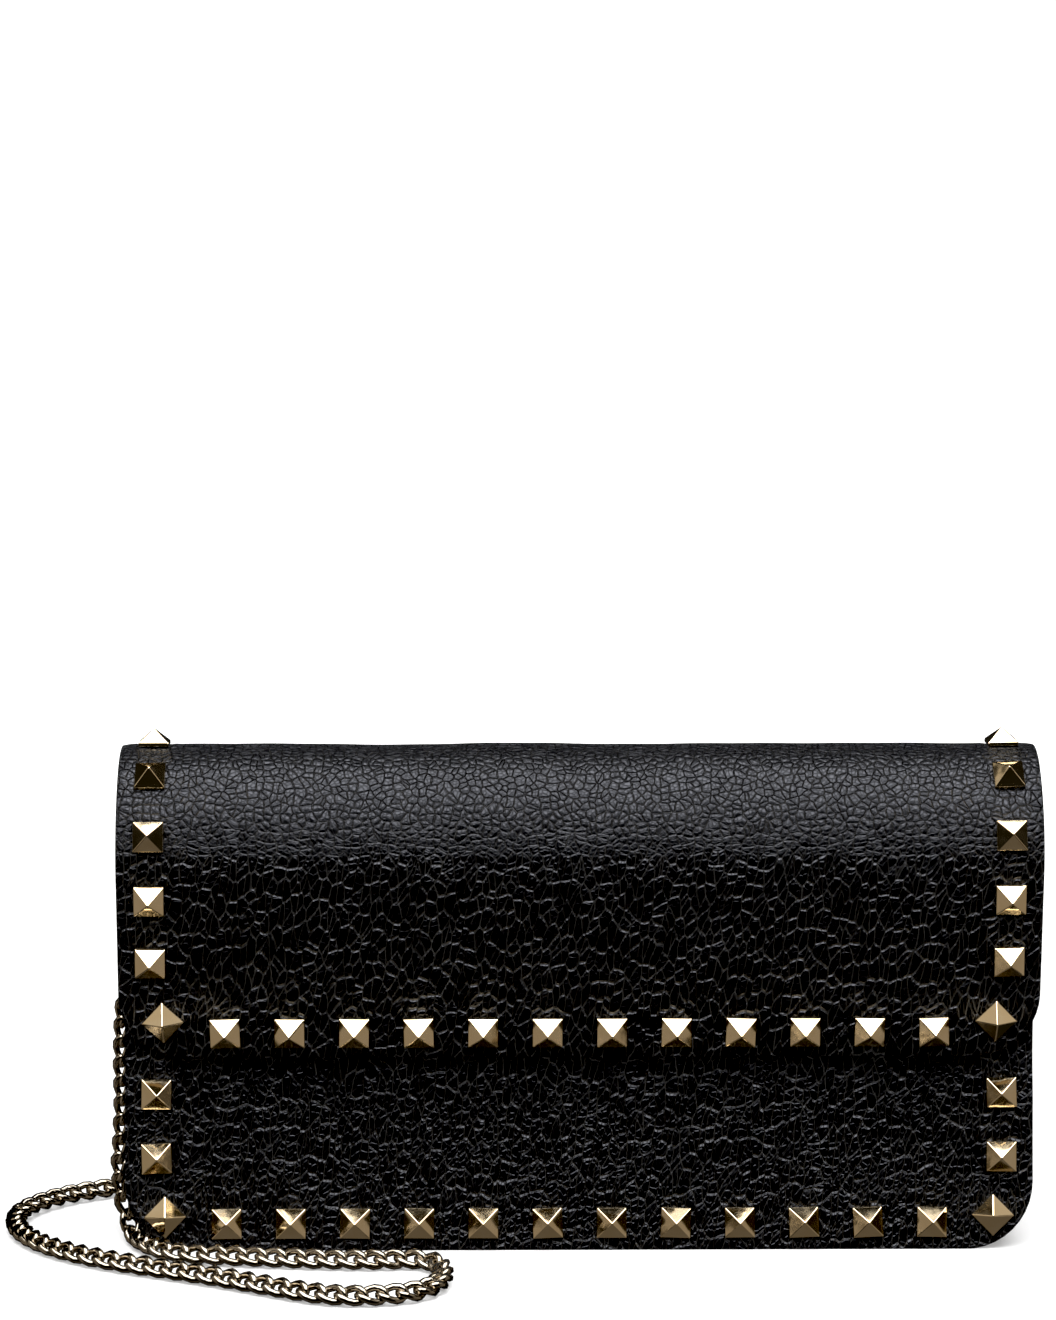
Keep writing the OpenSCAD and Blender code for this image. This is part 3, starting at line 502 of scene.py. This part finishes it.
def hand_waves(across, along, seed):
    """Slow waves of a few tenths of a millimetre, as in any leather that has been handled."""
    largest, height = 60, 0.20
    random = np.random.default_rng(seed)
    rise = np.zeros_like(across)
    for size in (largest, 38, 24, 15):
        angle, shift, lean = random.uniform(0, 2 * pi, 3)
        wave = np.sin((across * cos(angle) + along * sin(angle)) * 2 * pi / (size * mm) + shift)
        rise += size / largest * height * wave
    return rise * mm


def wrap_grid(spacing):
    """Across and along places of the wrap's grid points: as wide as the panels up the back, then a
    little wider over the flap, with two round corners at each end and finer rows at the hinge."""
    hinge_zone, hinge_row = 16 * mm, 0.55 * mm
    widens_from, widens_over = 14 * mm, 10 * mm
    s = rounded_rows(back_end, flap_end, panel_corner, flap_corner, spacing)
    hinge = np.arange(-back_arc - hinge_zone, 0, hinge_row)
    s = np.sort(np.concatenate([s[(s < hinge[0]) | (s > hinge[-1])], hinge]))
    half = back_high[0] + (flap_high[0] - back_high[0]) * ease((s + back_arc + widens_from) / widens_over)
    half = half - corner_inset(s - back_end, panel_corner) - corner_inset(flap_end - s, flap_corner)
    columns = np.linspace(-1, 1, round(2 * flap_high[0] / spacing) + 1)
    return half[:, None] * columns[None, :], np.repeat(s[:, None], len(columns), axis=1), half


def wrap_surface(across, along, depth, rise=0.0):
    """Points of the wrap that far below its outer skin, and lifted by rise."""
    y, z, elevation = over_the_top(along)
    n = facing(elevation)
    lifted = rise - depth
    return np.stack([across, y + n[..., 0] * lifted, z + n[..., 1] * lifted], axis=-1)


rim_radius = 0.28 * mm
waves_fade = 20 * mm


def edge_roll(across, half, end_gap):
    """How the skin rolls down towards its side edges and its end."""
    drop, width = 0.30 * mm, 0.9 * mm
    side_gap = half[:, None] - np.abs(across)
    return -drop * np.exp(-side_gap / width) - drop * np.exp(-end_gap / width)


def wrap_waves(across, along):
    return 0.6 * (hand_waves(across, along, 4) * ease((along - back_end) / waves_fade))


across, along, half = wrap_grid(leather_grid)
waves = wrap_waves(across, along)
surface_rise = (pressed_round_studs(across, along, flap_studs)
                + edge_roll(across, half, flap_end - along) + waves)
outer_skin = wrap_surface(across, along, 0, surface_rise)
under_skin = wrap_surface(across, along, leather_thick, waves)
flat_places = np.stack([across, along], axis=-1)
wrap_leather = closed_sheet("flap_and_back_leather", outer_skin, under_skin, flat_places)
face_and_rim(wrap_leather, calf)
soften_edges(wrap_leather, "rounded rim", rim_radius, 50)


def bend_at_hinge(piece):
    """Bakes the sheet's placement into its points; the sheet is not bent here."""
    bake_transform(piece)


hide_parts("back_panel", "flap_leather")
bend_at_hinge(wrap_leather)


def nappa_lining(name):
    """Thin lining leather: almost smooth, with a fine close grain."""
    made, shader, start = material(name, Base_Color=(0.016, 0.015, 0.016, 1))
    place = start.node("TexCoord", out=3)
    cells = place.node("TexVoronoi", {"feature": "DISTANCE_TO_EDGE"},
                       {"Vector": place, "Scale": 1 / (0.7 * mm)})
    height = cells.step(0.0, 0.35) + 0.5 * place.noise(0.4 * mm)
    feed(shader, Roughness=0.5 + 0.15 * place.noise(6 * mm), Normal=height.bump(0.05 * mm))
    return made


lining_leather = nappa_lining("lining_nappa")
across, along, half = wrap_grid(lining_grid)
waves = wrap_waves(across, along)
glued_skin = wrap_surface(across * lining_share, along, leather_thick, waves)
inner_skin = wrap_surface(across * lining_share, along, leather_thick + lining_thick, waves)
flat_places = np.stack([across, along], axis=-1)
wrap_lining = closed_sheet("flap_and_back_lining", glued_skin, inner_skin, flat_places)
face_and_rim(wrap_lining, lining_leather)
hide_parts("back_lining", "flap_lining")
bend_at_hinge(wrap_lining)


# Front panel: the same calf on its own lining, slightly hollow at mid height because the closed
# flap presses it there, with its two side edges sprung forward a little below the flap.
front_bend = 200 * mm
waist_z = 46 * mm
waist_y = front_low[1] + front_bend - np.sqrt(front_bend ** 2 - waist_z ** 2)
front_corner_z = row_in + 1.6 * mm
front_side_x = side_x - 0.6 * mm
side_rises = (12.6 * mm, 26.6 * mm)
front_studs = ([(sign * front_side_x, front_corner_z + rise, 0) for sign in (-1, 1) for rise in side_rises]
               + [(x, row_in, 0) for x in row_x]
               + [(sign * corner_x, front_corner_z, 45) for sign in (-1, 1)])
curl_pull = 0.0040 / mm
curl_from_x = 80 * mm
curl_below_z = 44 * mm
curl_over = 14 * mm
hide_shift = 0.3


def front_surface(across, up, depth, rise=0.0):
    """The front panel's skin: an upright arc, hollow to the front, whose side edges curl forward
    as the square of their distance outside the stud columns, below the flap only."""
    lean = -np.arcsin((up - waist_z) / front_bend)
    outside = np.clip(np.abs(across) - curl_from_x, 0, None)
    curl = -curl_pull * outside ** 2 * ease((curl_below_z - up) / curl_over)
    y = waist_y - front_bend + np.sqrt(front_bend ** 2 - (up - waist_z) ** 2) + curl
    n = facing(lean)
    lifted = rise - depth
    return np.stack([across, y + n[..., 0] * lifted, up + n[..., 1] * lifted], axis=-1)


def front_grid(spacing):
    """Across and up places of the front panel's grid points, its two lower corners round."""
    z = rounded_rows(0, front_high[2], panel_corner, 0, spacing)
    half = front_high[0] - corner_inset(z, panel_corner)
    columns = np.linspace(-1, 1, round(2 * front_high[0] / spacing) + 1)
    return half[:, None] * columns[None, :], np.repeat(z[:, None], len(columns), axis=1), half


def front_waves(across, up):
    return 0.5 * hand_waves(across, up, 9) * ease(up / waves_fade)


across, up, half = front_grid(leather_grid)
waves = front_waves(across, up)
surface_rise = pressed_round_studs(across, up, front_studs) + edge_roll(across, half, up) + waves
outer_skin = front_surface(across, up, 0, surface_rise)
under_skin = front_surface(across, up, leather_thick, waves)
flat_places = np.stack([across, hide_shift - up], axis=-1)
front_leather = closed_sheet("front_leather", outer_skin, under_skin, flat_places, flip=True)
face_and_rim(front_leather, calf)
soften_edges(front_leather, "rounded rim", rim_radius, 50)
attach(front_leather, "root")
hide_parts("front_panel")

across, up, half = front_grid(lining_grid)
waves = front_waves(across, up)
glued_skin = front_surface(across * lining_share, up, leather_thick, waves)
inner_skin = front_surface(across * lining_share, up, leather_thick + lining_thick, waves)
flat_places = np.stack([across, up], axis=-1)
front_lining = closed_sheet("front_lining_sheet", glued_skin, inner_skin, flat_places, flip=True)
face_and_rim(front_lining, lining_leather)
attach(front_lining, "root")
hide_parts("front_lining")


# Gussets and bottom strip: softer cuts of the same calf. Each gusset is glued between the panel
# edges by two flanges and folds inwards; the bottom strip turns up round both lower corners.
gusset_thick = 1.1 * mm
bottom_thick = 2.0 * mm
fold_in = 5 * mm
fold_back = 10.5 * mm
inner_half = back_high[0] - bottom_thick
seam_at = back_high[0] - 5.5 * mm
gusset_foot = 6.2 * mm
gusset_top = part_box("gusset_right")[1][2]
back_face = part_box("gusset_right")[1][1]
glue_lap = 0.1 * mm
flange_in = 0.2 * mm


def inside_front(z):
    """Where the front panel's lining faces the inside, at each height."""
    return front_surface(0 * z, z, leather_thick + lining_thick)[..., 1]


def rounded(points):
    """Corners of each row of points cut off again and again, which leaves a smooth bend."""
    for _ in range(3):
        near = 0.75 * points[:, :-1] + 0.25 * points[:, 1:]
        far = 0.25 * points[:, :-1] + 0.75 * points[:, 1:]
        cut = np.stack([near, far], axis=2).reshape(len(points), -1, 2)
        points = np.concatenate([points[:, :1], cut, points[:, -1:]], axis=1)
    return points


def gusset_sheet(side):
    """One gusset: at each height a flange, a fold inwards and a flange, from the front lining to
    the back one. The fold waves a little on its way up."""
    level_count = 46
    fold_wave, wave_turns = 0.12, 9
    slant = 1.3
    level = np.linspace(0, 1, level_count)
    height = gusset_foot + level * (front_high[2] - gusset_foot)
    front = inside_front(height) + glue_lap
    back = np.full_like(level, back_face - glue_lap)
    fold = fold_in * (1 + fold_wave * np.sin(wave_turns * level + side))
    seam = np.full_like(level, seam_at)
    inside_strip = (inner_half - corner_inset(height - bottom_thick, panel_corner - bottom_thick)
                    + (height > panel_corner) * bottom_thick)
    flange = np.minimum(back_high[0] - flange_in, inside_strip)
    corners = ((flange, front), (seam, front), (seam - fold, back - fold_back), (seam, back), (flange, back))
    line = rounded(np.stack([np.stack(corner, axis=-1) for corner in corners], axis=1))
    ahead = unit(np.gradient(line, axis=1))
    outward = np.stack([ahead[..., 1], -ahead[..., 0]], axis=-1)
    share = (line[..., 1] - front[:, None]) / (back - front)[:, None]
    mouth = front_high[2] + share * (gusset_top - front_high[2])
    z = gusset_foot + level[:, None] * (mouth - gusset_foot)
    near = np.concatenate([line, z[..., None]], axis=-1)
    far = np.concatenate([line + gusset_thick * outward * np.array([1, 0]), z[..., None]], axis=-1)
    near[..., 0] *= side
    far[..., 0] *= side
    made = closed_sheet(f"folded_gusset_{'left' if side < 0 else 'right'}", near, far,
                        np.stack([near[..., 1] * slant, hide_shift - z], axis=-1), flip=side < 0)
    face_and_rim(made, calf)
    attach(made, "root")
    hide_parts(f"gusset_{'left' if side < 0 else 'right'}")


for side in (-1, 1):
    gusset_sheet(side)

corner_angle = np.linspace(0, pi / 2, 13)
bends_at = back_high[0] - panel_corner
straight = np.linspace(-bends_at, bends_at, 60)[1:-1]
strip_x = np.concatenate([-bends_at - panel_corner * np.cos(corner_angle), straight,
                          bends_at + panel_corner * np.sin(corner_angle)])
strip_z = np.concatenate([panel_corner * (1 - np.sin(corner_angle)), 0 * straight,
                          panel_corner * (1 - np.cos(corner_angle))])
strip_in = unit(np.stack([np.clip(strip_x, -bends_at, bends_at) - strip_x,
                          panel_corner - strip_z], axis=-1))
front_to_back = np.linspace(0, 1, 9)[None, :]


def strip_skin(depth):
    """Points of the bottom strip that far inside its outer skin, from the front panel to the back."""
    x, z = strip_x + depth * strip_in[:, 0], strip_z + depth * strip_in[:, 1]
    front = inside_front(z)[:, None]
    y = front + front_to_back * (back_face - front)
    return np.stack(np.broadcast_arrays(x[:, None], y, z[:, None]), axis=-1)


strip = strip_skin(0)
bottom = closed_sheet("bottom_strip_sheet", strip, strip_skin(bottom_thick),
                      np.stack([strip[..., 0], hide_shift + strip[..., 1]], axis=-1))
face_and_rim(bottom, calf)
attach(bottom, "root")
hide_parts("bottom_strip")


# Inside walls: three card pockets in two columns with scooped mouths, and the two walls of the
# coin pocket, all of nappa. Each is a limp sheet sewn in at its ends, so it waves a little.
def wall_sheet(node, scoop=0.0):
    """A standing sheet as wide as its node, its lower corners round and its top edge scooped."""
    scoop_radius = 40 * mm
    face_in = 0.05 * mm
    wave_height, wave_length = 0.12 * mm, 17 * mm
    low, high = (np.array(corner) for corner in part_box(node))
    x, level = np.meshgrid(np.linspace(low[0], high[0], 91), np.linspace(0, 1, 24))
    middle = high[0] / 2
    bite = np.sqrt(np.maximum(scoop_radius ** 2 - (np.abs(x) - middle) ** 2, 0)) - scoop_radius + scoop
    foot = low[2] + corner_inset(np.maximum(inner_half - np.abs(x), 0), panel_corner - bottom_thick)
    z = foot + level * (high[2] - np.maximum(bite, 0) - foot)
    own_phase = 6 * low[1] / mm
    wave = wave_height * np.sin(x / wave_length + own_phase) * np.sin(pi * level)
    outer = np.stack([x, low[1] + face_in + wave, z], axis=-1)
    inner = np.stack([x, high[1] - face_in + wave, z], axis=-1)
    made = closed_sheet(f"{node}_sheet", outer, inner, np.stack([x, z], axis=-1), flip=True)
    face_and_rim(made, lining_leather)
    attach(made, "root")
    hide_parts(node)


for layer in ("high", "middle", "low"):
    wall_sheet(f"card_slot_{layer}", scoop=3 * mm)
for wall in ("front", "back"):
    wall_sheet(f"coin_wall_{wall}")


# Studs: square pyramids stamped from brass sheet, polished and plated pale gold, each with a short
# upright skirt. Prongs under it go through the leather, so every stud sits a little its own way.
stud_skirt = 0.7 * mm
stud_peak = 3.0 * mm
stud_seat = 0.15 * mm
rubbed_edge = 0.16 * mm
tilt_spread = 0.018
turn_spread = 0.02


def stud_frames(places, surface, seed):
    """Each stud's centre and its three directions on the surface, turned and tilted by a hair."""
    random = np.random.default_rng(seed)
    near = 0.5 * mm

    def skin(x, s):
        return surface(np.array(x), np.array(s), 0)

    frames = []
    for x, s, turn in places:
        middle = skin(x, s)
        right = unit(skin(x + near, s) - skin(x - near, s))
        on = unit(skin(x, s + near) - skin(x, s - near))
        up = np.cross(on, right)
        up = up * np.sign(up[2] - 2 * up[1])
        up = unit(up + random.normal(0, tilt_spread, 3))
        a = radians(turn) + random.normal(0, turn_spread)
        right = cos(a) * right + sin(a) * on
        right = unit(right - up * np.dot(right, up))
        frames.append((middle, right, np.cross(up, right), up))
    return frames


def stud_mesh(name, frames):
    """Stamped pyramids: for each, a closed skin of a base, an upright skirt and four faces to a tip."""
    h = stud_width / 2
    ring = np.array([(-h, -h), (h, -h), (h, h), (-h, h)])
    shape = np.array([(*c, -stud_seat) for c in ring] + [(*c, stud_skirt) for c in ring]
                     + [(0, 0, stud_skirt + stud_peak)])
    corners = [(3, 2, 1, 0)] + [(k, (k + 1) % 4, (k + 1) % 4 + 4, k + 4) for k in range(4)]
    tips = [(k + 4, (k + 1) % 4 + 4, 8) for k in range(4)]
    points = np.concatenate([m + shape @ np.stack([r, o, u]) for m, r, o, u in frames])
    faces = [tuple(n + 9 * k for n in face) for k in range(len(frames)) for face in corners + tips]
    made = to_mesh(name, points, faces, smooth=False)
    soften_edges(made, "rubbed edges", rubbed_edge, 20)
    made.data.materials.append(pale_gold)
    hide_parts(name.replace("stamped_", ""))
    return made


def stud_groups(prefix, places, surface, body, seed):
    """One piece each for the left column, the right column, the row and the two corner studs."""
    frames = stud_frames(places, surface, seed)
    columns = (len(places) - len(row_x) - 2) // 2
    cuts = {"left": frames[:columns], "right": frames[columns:2 * columns],
            "row": frames[2 * columns:-2], "corner": frames[-2:]}
    for part, chosen in cuts.items():
        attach(stud_mesh(f"stamped_{prefix}_studs_{part}", chosen), body)


stud_groups("flap", flap_studs, wrap_surface, "flap", 11)
stud_groups("front", front_studs, front_surface, "root", 12)


# Carried-over parts: the rings, clasps, snap, zip and ring tabs keep the shape that the solid model
# gives them, and take the finish of what each is made of.
steel = plated_metal("washer_steel", (0.62, 0.61, 0.58), (0.5, 0.49, 0.47), 0.28, 0.45)


def woven_tape(name):
    """Zip tape: fine ribs of twisted polyester, dull black."""
    made, shader, start = material(name, Base_Color=(0.012, 0.012, 0.013, 1))
    place = start.node("TexCoord", out=3)
    ribs = place.node("TexWave", {}, {"Vector": place, "Scale": 900.0})
    feed(shader, Roughness=0.75 + 0.15 * place.noise(mm), Normal=ribs.bump(0.08 * mm))
    return made


def tab_calf(name):
    """Calf of the ring tabs: the same grain as on the panels, a little duller."""
    made, shader, start = material(name, Roughness=0.45)
    place = start.node("TexCoord", out=3)
    cells = place.node("TexVoronoi", {"feature": "DISTANCE_TO_EDGE"},
                       {"Vector": place, "Scale": 1 / (2 * mm)}).step(0, 0.3)
    # Painted shade: the creases between the pebbles are coloured darker than the pebble tops.
    feed(shader, Base_Color=cells.colour((0.0035, 0.0035, 0.004), (0.0105, 0.0105, 0.0125)),
         Normal=(cells + 0.3 * place.noise(0.4 * mm)).bump(0.2 * mm))
    return made


finishes = {"gold_metal": pale_gold, "steel": steel, "zip_tape": woven_tape("zip_tape_weave"),
            "lining": lining_leather, "black_leather": tab_calf("gusset_calf")}
for part in frame["record"]["subparts"]:
    node = frame["nodes"][part["node"]]
    node.data.materials.clear()
    node.data.materials.append(finishes[part["material_slot"]])


# Studio: a pale floor that glows by itself as painted light, and one big soft light above the
# front. Warm dim cards at the sides and low in front are there for the polished studs to mirror,
# and the front and back fills only light.
def card(name, place, target, size, radiance, colour=(1, 1, 1)):
    """A rectangular light that shines evenly over its face, turned towards its target."""
    data = bpy.data.lights.new(name, "AREA")
    data.shape = "RECTANGLE"
    data.size, data.size_y = size
    data.energy = radiance * pi * size[0] * size[1]
    data.color = colour
    made = bpy.data.objects.new(name, data)
    made.location = place
    made.rotation_euler = (Vector(target) - Vector(place)).to_track_quat("-Z", "Y").to_euler()
    bpy.context.scene.collection.objects.link(made)
    return made


card("overhead_softbox", (0, -0.33, 1.10), (0, 0, 0.05), (1.6, 1.38), 5.2)
for side in (-1, 1):
    card(f"side_card_{side}", (side * 1.1, -0.12, -0.26), (side * 0.1, -0.12, -0.26), (1.0, 0.82),
         0.26, (1, 0.86, 0.70))
    card(f"side_strip_{side}", (side * 0.95, -0.15, 0.62), (0, -0.05, 0.05), (0.9, 0.55),
         0.5, (1, 0.9, 0.76))
card("low_card", (0, -0.2, -0.45), (0, -0.2, 0), (1.4, 0.5), 0.10, (1, 0.86, 0.72))
front_fill = card("front_fill", (0.25, -1.3, 0.45), (0, 0, 0.05), (1.4, 1.0), 1.7)
front_fill.visible_glossy = False
back_fill = card("back_fill", (-0.4, 1.3, 0.5), (0, 0, 0.05), (1.4, 1.0), 1.4)
back_fill.visible_glossy = False

floor_reach = 4
floor_points = floor_reach * np.array([(-1, -1, 0), (1, -1, 0), (1, 1, 0), (-1, 1, 0)], float)
floor = to_mesh("floor", floor_points, [(0, 1, 2, 3)], smooth=False)
# Painted light: the floor glows by itself, dim next to the wallet and rising to full white further out.
glowing_floor_finish, floor_shader, floor_start = material(
    "glowing_pale_floor", Roughness=0.9, Specular_IOR_Level=0.1, Base_Color=(0.7, 0.7, 0.7, 1),
    Emission_Strength=1.0)
floor_place = floor_start.node("TexCoord", out=3)
away = floor_start.node("VectorMath", {"operation": "LENGTH"}, {0: floor_place}, out=1)
feed(floor_shader, Emission_Color=away.step(0.12, 0.9).colour((0.30, 0.30, 0.30), (1, 1, 1)))
floor.data.materials.append(glowing_floor_finish)
floor.visible_glossy = False

world_glow = 0.02
backdrop_glow = 1.3
world = bpy.data.worlds.new("studio")
world.use_nodes = True
bpy.context.scene.world = world
sky = Shade(world.node_tree)
background = world.node_tree.nodes["Background"]
background.inputs["Color"].default_value = (1, 1, 1, 1)
seen = sky.node("LightPath", out=0)
world.node_tree.links.new((world_glow + backdrop_glow * seen).socket, background.inputs["Strength"])

# Black point: the deepest tones go to full black.
tones = bpy.context.scene.view_settings
tones.use_curve_mapping = True
tones.curve_mapping.black_level = (0.009, 0.009, 0.009)
tones.curve_mapping.update()
